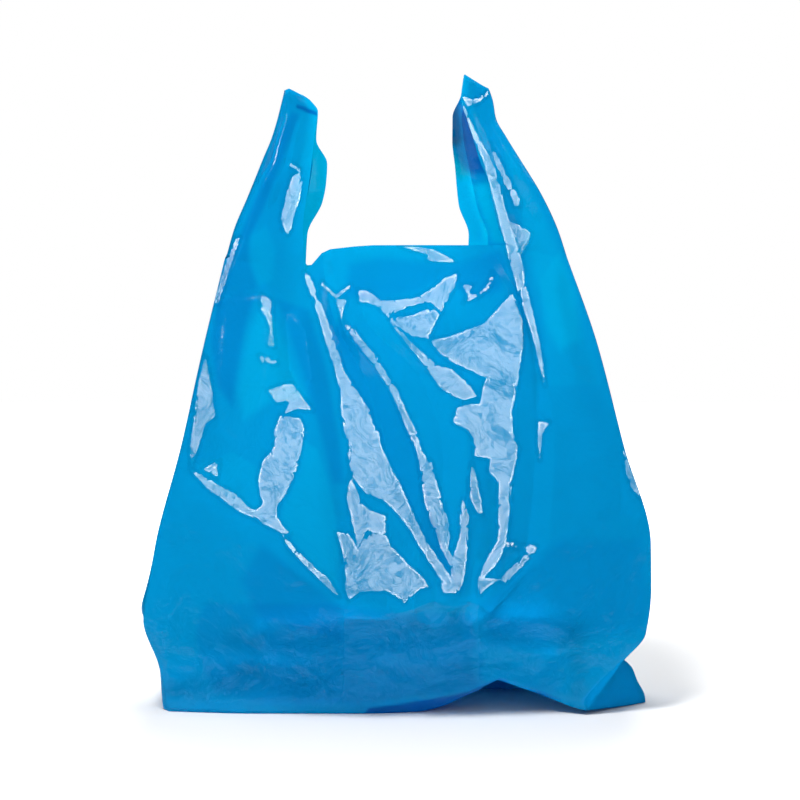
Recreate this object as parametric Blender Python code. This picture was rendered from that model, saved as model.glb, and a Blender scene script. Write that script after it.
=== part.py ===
"""A blue vest-type carrier bag of thin glossy film, standing open on its folded base.

The film is one sheet: front panel, two side gussets and back panel make a tube, closed below by a
flat folded base. A U-shaped cut through all layers leaves two handles, each a front strap and a rear
strap that meet in a gathered, sealed tab. Front faces -Y, +X is the right hand of the photograph,
the origin is under the middle of the box, on the floor. Lengths are in millimetres until the end.
"""

import bmesh
import bpy
import numpy as np

# Driving dimensions
FILM = 0.6  # stands in for film of about 0.02
HIP_HEIGHT = 84.0  # lowest part of the crease across the front
BRIM_HEIGHT = 350.0  # front edge of the mouth
BACK_BRIM_HEIGHT = 338.0
LEFT_TIP_HEIGHT = 467.0
RIGHT_TIP_HEIGHT = 477.5
LEFT_DROP = 6.0  # fall of each tip's top edge over the strap's width
RIGHT_DROP = 11.0
LEFT_PEAK = 0.75  # where it is highest, from the inner edge, as a share of that width
RIGHT_PEAK = 0.05
LEFT_HALF = 194.0  # from the middle line to the widest point of each side
RIGHT_HALF = 194.0
BRIM_HALF = 129.0  # half of the width where the handles begin
TUCK_HALF = 74.0  # from the middle line to the gussets' inner folds there
HIP_DEPTH = 83.0  # the front panel's furthest reach, ahead of the middle
BACK_DEPTH = 70.0
BRIM_DEPTH = 21.0  # half of the gap of the mouth
BRIM_EDGE = 26.0  # half of the depth at the side folds, where the handles begin
BASE_DEPTH = 50.0  # half of the base, front to back
PLEAT_DEPTH = 6.5  # how far a valley lies behind the ridges beside it
LIP = 3.5  # how far the crease stands proud
LIP_END = 118.0  # it dies away before this far to the right
LIP_FADE = 23.0
VALLEY_BELOW = 40.0  # valleys start this far under the crease
VALLEY_ABOVE = 12.0  # and have their full depth this far over it
VALLEY_FADE = 270.0  # from this height up they grow shallower
VALLEY_AT_BRIM = 0.5  # to this share of their depth
PANEL_HALF = 168.0  # where the panels have curved back to the depth of their edges
ROUNDING = 2.4
FLOOR_BLEND = 45.0  # height up to which the base's outline shapes the front
BASE_LIFT = 21.0  # the tuck that lifts the front edge of the base
TUCK_X = 81.0
TUCK_LEFT = 27.0  # spread of the tuck to either side
TUCK_RIGHT = 38.0
STRAP_LEAN = 6.0  # how far a strap leans in over its height, besides closing to its tab
STRAP_GAP = 6.0  # between a strap and the gusset layer behind it
CLOSE_FROM = 0.42  # share of a strap's height at which front and rear start to close
CLOSE_TO = 0.98
GUSSET_REACH = 0.78  # width of the gusset layer as a share of its strap
GATHER = 1.6  # lengthwise folds of a strap
TAB_GAP = 2.8  # half of the space across the gathered tab
LAYER_GAP = 1.7  # between its layers
CREST = 2.5  # height of the fold over its top
WELT = 1.2  # the bottom seal, proud of the base
SEAM_LENGTH = 0.88  # share of the base's length and width that the seal's strip takes
SEAM_WIDTH = 0.12

BASE_ROWS = 3
SIDE_ROWS = 8  # floor to crease
BODY_ROWS = 15  # crease to mouth
STRAP_ROWS = 13
FRONT_COLUMNS = 2  # between a ridge and a valley
STRAP_COLUMNS = 5
GUSSET_COLUMNS = 4
BACK_COLUMNS = 4

FILM_BLUE = (0.0, 0.33, 0.74, 1.0)


def curve(points, at):
    """A smooth line through (height, value) pairs that never overshoots them."""
    xs = np.array([p[0] for p in points], float)
    ys = np.array([p[1] for p in points], float)
    at = np.clip(at, xs[0], xs[-1])
    slope = np.diff(ys) / np.diff(xs)
    tangent = np.zeros(len(xs))
    for i in range(1, len(xs) - 1):
        if slope[i - 1] * slope[i] > 0:
            tangent[i] = 2 / (1 / slope[i - 1] + 1 / slope[i])
    tangent[0] = slope[0]
    tangent[-1] = slope[-1]
    i = int(np.clip(np.searchsorted(xs, at) - 1, 0, len(xs) - 2))
    step = xs[i + 1] - xs[i]
    t = (at - xs[i]) / step
    rise = t * t * (3 - 2 * t)
    ends = tangent[i] * t * (1 - t) ** 2 - tangent[i + 1] * t * t * (1 - t)
    return ys[i] * (1 - rise) + ys[i + 1] * rise + step * ends


def blend(low, high, at):
    t = np.clip((at - low) / (high - low), 0, 1)
    return t * t * (3 - 2 * t)


# Side outlines, (height, x). The left side has a pointed bulge above the ear of the bottom seal.
def outline(half_width, insets, top):
    """(height, x) pairs that lie inside the widest point by the insets, up to a last pair of their own."""
    return [(z, half_width - inset) for z, inset in insets] + [top]


def to_left(pairs):
    return [(z, -x) for z, x in pairs]


LEFT_FOLD = to_left(outline(LEFT_HALF, [(0, 24), (38, 18), (72, 7), (105, 12.5), (130, 16.5), (200, 35), (280, 52)], (340, BRIM_HALF)))
LEFT_TUCK = to_left(outline(LEFT_HALF, [(0, 19), (38, 14), (56, 6), (72, 0), (92, 7), (130, 26), (200, 60)], (338, TUCK_HALF)))
RIGHT_FOLD = outline(RIGHT_HALF, [(0, 51), (38, 24), (60, 7), (95, 3), (130, 3.5), (200, 23), (280, 44)], (340, BRIM_HALF))
RIGHT_TUCK = outline(RIGHT_HALF, [(0, 1.5), (5, 2), (17, 8), (27, 12), (38, 22), (58, 5), (92, 0), (130, 12), (200, 52)], (338, TUCK_HALF + 4))

# Ridges of the front panel, (height, x), each running down from the mouth to the base.
LEFT_PLEAT = [(0, -40), (82, -35), (194, -35.5), (255, -44.6), (297, -54.4), (330, -66.5)]
SECOND_PLEAT = [(0, 8), (87, 14), (150, 19), (203, 13), (249, -6), (292, -39), (347, -48)]
THIRD_PLEAT = [(0, 40), (93, 42), (200, 54), (236, 50), (278, 12), (304, -11), (350, -16)]
FOURTH_PLEAT = [(0, 78), (87, 70), (150, 84), (240, 91.5), (286, 95), (314, 86), (350, 60)]
RIGHT_PLEAT = [(0, 124), (125, 114), (200, 118), (246, 113.4), (286, 103.6), (350, 84.7)]

# Depth profiles, (height, distance ahead of or behind the middle)
FRONT_MIDDLE = [(0, 44), (45, 62), (HIP_HEIGHT, HIP_DEPTH), (130, 76), (200, 60), (280, 40), (350, BRIM_DEPTH)]
FRONT_EDGE = [(0, 46), (HIP_HEIGHT, 45), (130, 44), (200, 38), (280, 31), (340, BRIM_EDGE)]
BACK_MIDDLE = [(0, BASE_DEPTH), (100, BACK_DEPTH), (200, 54), (280, 36), (340, 22)]
BACK_EDGE = [(0, 45), (100, 44), (200, 36), (280, 31), (340, BRIM_EDGE)]
FLOOR_LINE = [(-175, 34), (-100, 42), (-30, 42), (46, 33), (81, 30), (145, 48)]

# Handles, (height, x)
LEFT_FRONT_INNER = [(330, -66.5), (362, -68), (400, -63), (430, -60), (449, -58), (457, -62), (463, -70)]
LEFT_REAR_INNER = [(334, -68), (358, -66.5), (382, -55), (397, -52), (411, -51), (429, -59), (450, -57.5), (457, -62), (463, -70)]
LEFT_FRONT_OUTER = [(340, -BRIM_HALF), (363, -116), (398, -101), (415, -92), (430, -88), (454, -81), (466, -82)]
LEFT_REAR_OUTER = [(340, -BRIM_HALF), (362, -122.5), (385, -112.6), (415, -99.8), (430, -93), (445, -88), (466, -82.5)]
RIGHT_FRONT_INNER = [(350, 84.7), (360, 83), (398, 74), (438, 59), (460, 50), (477, 52)]
RIGHT_REAR_INNER = [(342, 56), (357, 56.7), (380, 49), (409, 46), (429, 43.8), (446, 43.8), (462, 50), (477, 52)]
RIGHT_FRONT_OUTER = [(340, BRIM_HALF), (362, 121.7), (385, 111), (415, 93), (430, 84), (445, 76), (457, 74), (469, 70)]
RIGHT_REAR_OUTER = [(340, BRIM_HALF), (362, 119), (385, 108), (415, 90), (430, 82), (445, 75), (457, 73), (469, 70)]


def front_reach(x, z):
    """How far the smooth front panel stands ahead of the middle."""
    edge = curve(FRONT_EDGE, z)
    middle = curve(FRONT_MIDDLE, z)
    round_off = 1 - min(abs(x) / PANEL_HALF, 1) ** ROUNDING
    reach = edge + (middle - edge) * round_off
    return reach + (curve(FLOOR_LINE, x) - reach) * (1 - blend(0, FLOOR_BLEND, z))


def back_reach(x, z):
    edge = curve(BACK_EDGE, z)
    middle = curve(BACK_MIDDLE, z)
    return edge + (middle - edge) * (1 - min(abs(x) / PANEL_HALF, 1) ** ROUNDING)


def floor_lift(x):
    """The front edge of the base is lifted in one tuck, right of the middle."""
    spread = TUCK_LEFT if x < TUCK_X else TUCK_RIGHT
    return BASE_LIFT * np.exp(-(((x - TUCK_X) / spread) ** 2))


def crest(amount, z, hip):
    """A sharp rise that dies away above and below the crease."""
    return amount * np.exp(-abs(z - hip) / 9)


def front_rail(path, hip, valley):
    def point(z):
        x = curve(path, z)
        depth = valley * PLEAT_DEPTH * blend(hip - VALLEY_BELOW, hip + VALLEY_ABOVE, z)
        depth *= 1 - (1 - VALLEY_AT_BRIM) * blend(VALLEY_FADE, BRIM_HEIGHT, z)
        lip = LIP * (1 - blend(LIP_END - LIP_FADE, LIP_END, x))
        return x, -front_reach(x, z) + depth - crest(lip, z, hip)

    return point


def middle_of(first, second, share):
    return [(z, curve(first, z) * (1 - share) + curve(second, z) * share) for z in (0, 60, 95, 150, 200, 250, 300, 350)]


def side_rail(path, reach, sign):
    def point(z):
        x = curve(path, z)
        return x, sign * reach(x, z)

    return point


def tuck_rail(path, ear_y):
    def point(z):
        return curve(path, z), ear_y * (1 - blend(0, 70, z))

    return point


def back_rail(top_x, floor_x, valley):
    def point(z):
        x = floor_x + (top_x - floor_x) * blend(0, 340, z)
        return x, back_reach(x, z) - valley * PLEAT_DEPTH * blend(40, 200, z)

    return point


def loop_rails():
    """The vertical lines that shape the tube, in order round it: (point at height, crease, top, columns)."""
    front = [
        (LEFT_PLEAT, 82, 330, 0),
        (middle_of(LEFT_PLEAT, SECOND_PLEAT, 0.6), 80, 344, 1),
        (SECOND_PLEAT, 88, 347, 0),
        (middle_of(SECOND_PLEAT, THIRD_PLEAT, 0.55), 94, 349, 0.7),
        (THIRD_PLEAT, 87, BRIM_HEIGHT, 0),
        (middle_of(THIRD_PLEAT, FOURTH_PLEAT, 0.45), 93, BRIM_HEIGHT, 0.7),
        (FOURTH_PLEAT, 86, BRIM_HEIGHT, 0),
        (middle_of(FOURTH_PLEAT, RIGHT_PLEAT, 0.5), 108, BRIM_HEIGHT, 0.8),
        (RIGHT_PLEAT, 122, BRIM_HEIGHT, 0),
    ]
    rails = [(front_rail(path, hip, valley), hip, top, FRONT_COLUMNS) for path, hip, top, valley in front]
    rails[-1] = rails[-1][:3] + (STRAP_COLUMNS,)
    rails += [
        (side_rail(RIGHT_FOLD, front_reach, -1), 130, 340, GUSSET_COLUMNS + 1),
        (tuck_rail(RIGHT_TUCK, -4), 115, BACK_BRIM_HEIGHT, GUSSET_COLUMNS + 1),
        (side_rail(RIGHT_FOLD, back_reach, 1), 110, 340, STRAP_COLUMNS),
        (back_rail(56, 70, 0), 100, 342, BACK_COLUMNS),
        (back_rail(-4, -4, 1), 100, BACK_BRIM_HEIGHT, BACK_COLUMNS),
        (back_rail(-67, -80, 0), 100, 334, STRAP_COLUMNS),
        (side_rail(LEFT_FOLD, back_reach, 1), 115, 340, GUSSET_COLUMNS + 1),
        (tuck_rail(LEFT_TUCK, -26), 125, BACK_BRIM_HEIGHT, GUSSET_COLUMNS + 1),
        (side_rail(LEFT_FOLD, front_reach, -1), 178, 340, STRAP_COLUMNS),
    ]
    return rails


def level(row, lift, hip, top):
    """The height of a row, which bends to follow the crease and the edge of the mouth."""
    if row <= SIDE_ROWS:
        return lift + (hip - lift) * row / SIDE_ROWS
    return hip + (top - hip) * (row - SIDE_ROWS) / BODY_ROWS


def body_rows(rails):
    """The points of the tube, as rows of closed loops, and the column at which each rail stands."""
    stands = np.cumsum([0] + [rail[3] for rail in rails])
    rows = []
    for row in range(SIDE_ROWS + BODY_ROWS + 1):
        at_rails = []
        for point, hip, top, _ in rails:
            x, y = point(0)
            lift = floor_lift(x) if y < 0 else 0
            z = level(row, lift, hip, top)
            x, y = point(z - lift * (1 - z / hip) if z < hip else z)
            at_rails.append(np.array([x, y, z]))
        loop = []
        for i, rail in enumerate(rails):
            here = at_rails[i]
            there = at_rails[(i + 1) % len(rails)]
            loop += [between(here, there, step / rail[3]) for step in range(rail[3])]
        rows.append(loop)
    return rows, stands


def between(here, there, share):
    """A point between two rails, on the panel's own curve where both are on one panel."""
    p = here + (there - here) * share
    if share == 0 or min(abs(here[1]), abs(there[1])) < 18 or here[1] * there[1] < 0:
        return p
    panel = front_reach if p[1] < 0 else back_reach
    sign = np.sign(p[1])
    offsets = [q[1] - sign * panel(q[0], q[2]) for q in (here, there)]
    p[1] = sign * panel(p[0], p[2]) + offsets[0] * (1 - share) + offsets[1] * share
    return p


def strap(foot, inner, outer, sign, tip, drop, peak):
    """Rows of points up from the foot, from the inner edge to the outer fold and back along the gusset layer."""
    rows = []
    width = STRAP_COLUMNS + GUSSET_COLUMNS
    for row in range(1, STRAP_ROWS + 1):
        up = min(row / (STRAP_ROWS - 1), 1)
        close = blend(CLOSE_FROM, CLOSE_TO, up)
        points = []
        for column in range(width + 1):
            across = min(column / STRAP_COLUMNS, 1)
            inward = max(column - STRAP_COLUMNS, 0) / GUSSET_COLUMNS
            beside = min(4 * inward, 1)
            start = foot[min(column, STRAP_COLUMNS)].co
            low = start.z - 2 * inward
            crown = tip - drop * abs(across - GUSSET_REACH * inward - peak) - (CREST + 0.3) * beside
            z = crown if row == STRAP_ROWS else low + (crown - CREST - low) * up
            x_inner = curve(inner, z)
            x_outer = curve(outer, z)
            x = x_outer + (x_inner - x_outer) * (1 - across + GUSSET_REACH * inward)
            reach = abs(start.y) - STRAP_LEAN * up
            reach += (TAB_GAP - reach) * close
            reach -= STRAP_GAP * inward ** 0.8 * (1 - close) + LAYER_GAP * beside * close
            gather = GATHER * np.sin(across * 3 * np.pi) * blend(0, 0.6, up) * (1 - 0.75 * close)
            y = 0.0 if row == STRAP_ROWS else sign * (reach + gather * (1 - beside))
            points.append(np.array([x, y, z]))
        rows.append(points)
    return rows


def add_rows(bm, below, rows, share_top=None):
    """Faces up from a line of vertices, row by row. Returns the last row."""
    for number, row in enumerate(rows):
        if share_top is not None and number == len(rows) - 1:
            verts = share_top
        else:
            verts = [bm.verts.new(p) for p in row]
        for a, b, c, d in zip(below, below[1:], verts[1:], verts):
            bm.faces.new((a, b, c, d))
        below = verts
    return below


def build_sheet():
    bm = bmesh.new()
    rails = loop_rails()
    rows, stands = body_rows(rails)
    loops = [[bm.verts.new(p) for p in row] for row in rows]
    count = len(rows[0])
    for low, high in zip(loops, loops[1:]):
        for i in range(count):
            j = (i + 1) % count
            bm.faces.new((low[i], low[j], high[j], high[i]))

    brim = loops[-1]
    right_pleat, right_front, right_tuck, right_back = stands[8:12]
    back_right, _, back_left, left_back, left_tuck, left_front = stands[12:18]
    edge = GUSSET_COLUMNS
    feet = {
        "right front": [brim[i] for i in range(right_pleat, right_front + edge + 1)],
        "right rear": [brim[i] for i in range(back_right, right_back - edge - 1, -1)],
        "left front": [brim[i % count] for i in range(count, left_front - edge - 1, -1)],
        "left rear": [brim[i] for i in range(back_left, left_back + edge + 1)],
    }
    edges = {
        "right front": (RIGHT_FRONT_INNER, RIGHT_FRONT_OUTER, -1, RIGHT_TIP_HEIGHT, RIGHT_DROP, RIGHT_PEAK),
        "right rear": (RIGHT_REAR_INNER, RIGHT_REAR_OUTER, 1, RIGHT_TIP_HEIGHT, RIGHT_DROP, RIGHT_PEAK),
        "left front": (LEFT_FRONT_INNER, LEFT_FRONT_OUTER, -1, LEFT_TIP_HEIGHT, LEFT_DROP, LEFT_PEAK),
        "left rear": (LEFT_REAR_INNER, LEFT_REAR_OUTER, 1, LEFT_TIP_HEIGHT, LEFT_DROP, LEFT_PEAK),
    }
    for side in ("right", "left"):
        top = None
        for name in (side + " front", side + " rear"):
            top = add_rows(bm, feet[name], strap(feet[name], *edges[name]), top)

    ring = loops[0]
    outer = [np.array(v.co) for v in ring]
    for step in range(1, BASE_ROWS + 1):
        share = step / BASE_ROWS
        inner = []
        for p in outer:
            x = p[0] * (1 - (1 - SEAM_LENGTH) * share)
            y = p[1] * (1 - (1 - SEAM_WIDTH) * share)
            z = p[2] * (1 - share) ** 3 + (WELT if step == BASE_ROWS else 0)
            inner.append(bm.verts.new((x, y, z)))
        for i in range(count):
            j = (i + 1) % count
            bm.faces.new((ring[j], ring[i], inner[i], inner[j]))
        ring = inner
    seam = bm.faces.new(ring)
    bmesh.ops.triangulate(bm, faces=[seam])
    bmesh.ops.recalc_face_normals(bm, faces=bm.faces)
    return bm


def centre_and_scale(mesh):
    """Puts the box's middle on the origin, its lowest face on the floor, and turns millimetres to metres."""
    points = np.array([v.co for v in mesh.vertices])
    low = points.min(axis=0)
    high = points.max(axis=0)
    shift = np.array([-(low[0] + high[0]) / 2, -(low[1] + high[1]) / 2, FILM / 2 - low[2]])
    for vertex, p in zip(mesh.vertices, points + shift):
        vertex.co = p / 1000


def film_material():
    material = bpy.data.materials.new("film")
    material.use_nodes = True
    shader = material.node_tree.nodes["Principled BSDF"]
    shader.inputs["Base Color"].default_value = FILM_BLUE
    shader.inputs["Roughness"].default_value = 0.22
    shader.inputs["Metallic"].default_value = 0.0
    material.diffuse_color = FILM_BLUE
    return material


def main():
    for obj in list(bpy.data.objects):
        bpy.data.objects.remove(obj, do_unlink=True)
    mesh = bpy.data.meshes.new("carrier_bag")
    sheet = build_sheet()
    sheet.to_mesh(mesh)
    sheet.free()
    centre_and_scale(mesh)
    mesh.materials.append(film_material())
    bag = bpy.data.objects.new("carrier_bag", mesh)
    bpy.context.scene.collection.objects.link(bag)
    mesh.shade_smooth()
    mesh.set_sharp_from_angle(angle=np.radians(28))
    wall = bag.modifiers.new("film", "SOLIDIFY")
    wall.thickness = FILM / 1000
    wall.offset = 0.0
    wall.use_rim = True


main()
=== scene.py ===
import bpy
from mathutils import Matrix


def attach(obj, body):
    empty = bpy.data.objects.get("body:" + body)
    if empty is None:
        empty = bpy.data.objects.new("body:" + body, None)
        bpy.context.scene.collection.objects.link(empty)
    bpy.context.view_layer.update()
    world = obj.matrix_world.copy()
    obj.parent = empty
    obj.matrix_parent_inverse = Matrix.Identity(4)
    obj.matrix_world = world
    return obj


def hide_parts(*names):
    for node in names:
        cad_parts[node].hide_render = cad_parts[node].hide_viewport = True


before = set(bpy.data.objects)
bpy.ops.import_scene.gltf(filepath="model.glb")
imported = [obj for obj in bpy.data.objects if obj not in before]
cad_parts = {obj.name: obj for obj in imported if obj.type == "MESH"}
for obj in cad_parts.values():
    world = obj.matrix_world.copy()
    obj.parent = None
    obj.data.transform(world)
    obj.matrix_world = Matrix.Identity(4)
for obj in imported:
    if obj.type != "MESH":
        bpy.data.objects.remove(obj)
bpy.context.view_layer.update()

import math

import bmesh
import bpy
import numpy as np


# A smooth line through (height, value) pairs that never overshoots them. at may be an array.
def curve(points, at):
    xs = np.array([p[0] for p in points], float)
    ys = np.array([p[1] for p in points], float)
    at = np.clip(np.asarray(at, float), xs[0], xs[-1])
    slope = np.diff(ys) / np.diff(xs)
    tangent = np.zeros(len(xs))
    tangent[0], tangent[-1] = slope[0], slope[-1]
    for i in range(1, len(xs) - 1):
        if slope[i - 1] * slope[i] > 0:
            tangent[i] = 2 / (1 / slope[i - 1] + 1 / slope[i])
    i = np.clip(np.searchsorted(xs, at) - 1, 0, len(xs) - 2)
    step = xs[i + 1] - xs[i]
    t = (at - xs[i]) / step
    rise = t * t * (3 - 2 * t)
    bend = tangent[i] * t * (1 - t) ** 2 - tangent[i + 1] * t * t * (1 - t)
    return ys[i] * (1 - rise) + ys[i + 1] * rise + step * bend


def blend(low, high, at):
    t = np.clip((np.asarray(at, float) - low) / (high - low), 0, 1)
    return t * t * (3 - 2 * t)


# Camera: level, a little above the middle, as in the photograph
view = {
    "lens": 100.0,
    "distance": 1680.0,
    "elevation": 5.0,
    "target": (4.2, 0.0, 233.3),  # mm
    "pixels": 800,
    "sensor": 36.0,
}


# The photograph's pixel at which a point in mm is seen
def seenAt(x, y, z):
    tilt = math.radians(view["elevation"])
    dx = x - view["target"][0]
    dy = y - view["target"][1]
    dz = z - view["target"][2]
    away = view["distance"] + dy * math.cos(tilt) - dz * math.sin(tilt)
    up = dz * math.cos(tilt) + dy * math.sin(tilt)
    scale = view["lens"] / view["sensor"] * view["pixels"]
    return view["pixels"] / 2 + dx / away * scale, view["pixels"] / 2 - up / away * scale


# The bag in mm, in the part's own numbers: outlines, pleats and depths are (height, value) pairs
bag = {
    "shift": (0.0, 8.0, 0.3),  # from the tables' middle line to the frame's origin
    "leftFold": [(0, -170), (38, -176), (72, -187), (105, -181.5), (130, -177.5), (200, -159), (280, -141),
        (340, -126.5)],
    "leftTuck": [(0, -175), (38, -180), (56, -188), (72, -194), (92, -187), (130, -168), (200, -134),
        (338, -74)],
    "rightFold": [(0, 143), (38, 170), (60, 187), (95, 191), (130, 190.5), (200, 171), (280, 150),
        (340, 129)],
    "rightTuck": [(0, 192.5), (5, 192), (17, 186), (27, 182), (38, 172), (58, 189), (92, 194), (130, 182),
        (200, 142), (338, 78)],
    "leftPleat": [(0, -40), (82, -35), (194, -35.5), (255, -44.6), (297, -54.4), (330, -66.5)],
    "secondPleat": [(0, 8), (87, 14), (150, 19), (203, 13), (249, -6), (292, -39), (347, -48)],
    "thirdPleat": [(0, 40), (93, 42), (200, 54), (236, 50), (278, 12), (304, -11), (350, -16)],
    "fourthPleat": [(0, 78), (87, 70), (150, 84), (240, 91.5), (286, 95), (314, 86), (350, 60)],
    "rightPleat": [(0, 124), (125, 114), (200, 118), (246, 113.4), (286, 103.6), (350, 84.7)],
    "frontMiddle": [(0, 44), (45, 62), (84, 83), (130, 76), (200, 60), (280, 40), (350, 21)],
    "frontEdge": [(0, 46), (84, 45), (130, 44), (200, 38), (280, 31), (340, 26)],
    "backMiddle": [(0, 50), (100, 70), (200, 54), (280, 36), (340, 22)],
    "backEdge": [(0, 45), (100, 44), (200, 36), (280, 31), (340, 26)],
    "floorLine": [(-175, 34), (-100, 42), (-30, 42), (46, 33), (81, 30), (145, 48)],
    "halfWidth": 168.0,
    "roundness": 2.4,  # of the front and back panels, seen from above
    "floorEnd": 45.0,
    "tuckTop": 70.0,
    "brim": 340.0,
    "flatReach": 18.0,  # folds this near the middle plane have flat film between them
    "pleatDepth": 6.5,
    "pleatStart": (-40.0, 12.0),  # below and above the crease
    "pleatFade": (270.0, 350.0),
    "backPleatStart": (40.0, 200.0),
    "lip": 3.5,
    "lipReach": 9.0,
    "lipEnd": (95.0, 118.0),
    "lift": [(18, 0), (34, 3), (46, 8), (53, 11.5), (65, 16.5), (71, 22.5), (79.5, 24), (93, 18.4),
        (112, 13), (134, 5), (146, 3), (180, 0)],
    "liftEnds": (10.0, 42.0),  # where the raised base comes down behind
    # painted shade, partly film folded in layers: the share of colour that the base under the bag loses
    "basePaintedShade": 0.3,
    "baseRings": (0.02, 0.15, 0.3, 0.45, 0.6, 0.75, 0.88, 1.0),
    "baseNarrowing": (0.12, 0.88),  # across, and from front to back, at the seal
    "sealHeight": 1.2,
    "crumpleRise": (2.0, 30.0),  # crumples begin between these heights
    "crumpleEnd": (440.0, 462.0),
    "crumpleEdge": 5,  # columns beside a fold over which they fade
    "sideRows": 50,
    "bodyRows": 150,
    "strapRows": 84,
    "gusset": 11,  # columns of a gusset's layer that run on up a strap
}
# The four straps that leave the brim, in mm; a handle's front and rear straps close to a tab at its tip
straps = {
    "leftFront": {
        "inner": [(330, -66.5), (362, -68), (400, -63), (430, -60), (449, -58), (457, -62), (463, -70)],
        "outer": [(340, -126.5), (363, -115.5), (398, -101), (415, -92), (430, -88), (454, -81),
            (466, -82)],
    },
    "leftRear": {
        "inner": [(334, -68), (358, -66.5), (382, -55), (397, -52), (411, -51), (429, -59), (450, -57.5),
            (457, -62), (463, -70)],
        "outer": [(340, -129), (362, -122.5), (385, -112.6), (415, -99.8), (430, -93), (445, -88),
            (466, -82.5)],
    },
    "rightFront": {
        "inner": [(350, 84.7), (356, 80.5), (367, 76.7), (389, 71.5), (399, 69.6), (411, 64.3), (426, 59.7),
            (441, 55.3), (460, 50), (477, 52)],
        "outer": [(340, 129), (362, 121.7), (385, 111), (415, 93), (430, 84), (445, 76), (457, 74),
            (469, 70)],
    },
    "rightRear": {
        "inner": [(342, 56), (357, 56.7), (380, 49), (409, 46), (429, 43.8), (446, 43.8), (462, 50),
            (477, 52)],
        "outer": [(340, 129), (362, 119), (385, 108), (415, 90), (430, 82), (445, 75), (457, 73),
            (469, 70)],
    },
    "lean": 6.0,
    "gap": 6.0,
    "closing": (0.42, 0.98),
    "gussetReach": 0.78,
    "gather": 1.6,
    "tabGap": 2.8,
    "layerGap": 1.7,
    "crest": 2.5,
    "layerDrop": 0.3,
    "gathers": 3,
    "tips": {"left": (467.0, 6, 0.75), "right": (477.5, 11, 0.05)},
}


def frontReach(x, z):
    edge = curve(bag["frontEdge"], z)
    middle = curve(bag["frontMiddle"], z)
    reach = edge + (middle - edge) * (1 - np.minimum(abs(x) / bag["halfWidth"], 1) ** bag["roundness"])
    return reach + (curve(bag["floorLine"], x) - reach) * (1 - blend(0, bag["floorEnd"], z))


def backReach(x, z):
    edge = curve(bag["backEdge"], z)
    middle = curve(bag["backMiddle"], z)
    return edge + (middle - edge) * (1 - np.minimum(abs(x) / bag["halfWidth"], 1) ** bag["roundness"])


def floorLift(x, y):
    return float(curve(bag["lift"], x) * (1 - blend(*bag["liftEnds"], y)))


def middleOf(first, second, share):
    heights = (0, 60, 95, 150, 200, 250, 300, 350)
    return [(z, curve(first, z) * (1 - share) + curve(second, z) * share) for z in heights]


# Lines up the tube, in order round it: kind, path, how deep its fold is, height of the crease, top, and
# columns up to the next line
def loopRails():
    b = bag
    return [
        ("front", b["leftPleat"], 0, 82, 330, 22),
        ("front", middleOf(b["leftPleat"], b["secondPleat"], 0.6), 1, 80, 344, 17),
        ("front", b["secondPleat"], 0, 88, 347, 15),
        ("front", middleOf(b["secondPleat"], b["thirdPleat"], 0.55), 0.7, 94, 349, 15),
        ("front", b["thirdPleat"], 0, 87, 350, 14),
        ("front", middleOf(b["thirdPleat"], b["fourthPleat"], 0.45), 0.7, 93, 350, 16),
        ("front", b["fourthPleat"], 0, 86, 350, 14),
        ("front", middleOf(b["fourthPleat"], b["rightPleat"], 0.5), 0.8, 108, 350, 14),
        ("front", b["rightPleat"], 0, 122, 350, 40),
        ("frontSide", b["rightFold"], 0, 130, 340, 14),
        ("tuck", b["rightTuck"], -4, 115, 338, 14),
        ("backSide", b["rightFold"], 0, 110, 340, 14),
        ("back", (56, 70), 0, 100, 342, 10),
        ("back", (-4, -4), 1, 100, 338, 10),
        ("back", (-67, -80), 0, 100, 334, 14),
        ("backSide", b["leftFold"], 0, 115, 340, 14),
        ("tuck", b["leftTuck"], -26, 125, 338, 14),
        ("frontSide", b["leftFold"], 0, 178, 340, 60),
    ]


def railPoint(kind, path, depth, hip, z):
    if kind == "tuck":
        return curve(path, z), depth * (1 - blend(0, bag["tuckTop"], z))
    if kind == "back":
        x = path[1] + (path[0] - path[1]) * blend(0, bag["brim"], z)
        return x, backReach(x, z) - depth * bag["pleatDepth"] * blend(*bag["backPleatStart"], z)
    x = curve(path, z)
    if kind == "backSide":
        return x, backReach(x, z)
    if kind == "frontSide":
        return x, -frontReach(x, z)
    below, above = bag["pleatStart"]
    fold = depth * bag["pleatDepth"] * blend(hip + below, hip + above, z)
    fold = fold * (1 - 0.5 * blend(*bag["pleatFade"], z))
    lip = bag["lip"] * (1 - blend(*bag["lipEnd"], x))
    return x, -frontReach(x, z) + fold - lip * np.exp(-abs(z - hip) / bag["lipReach"])


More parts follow.
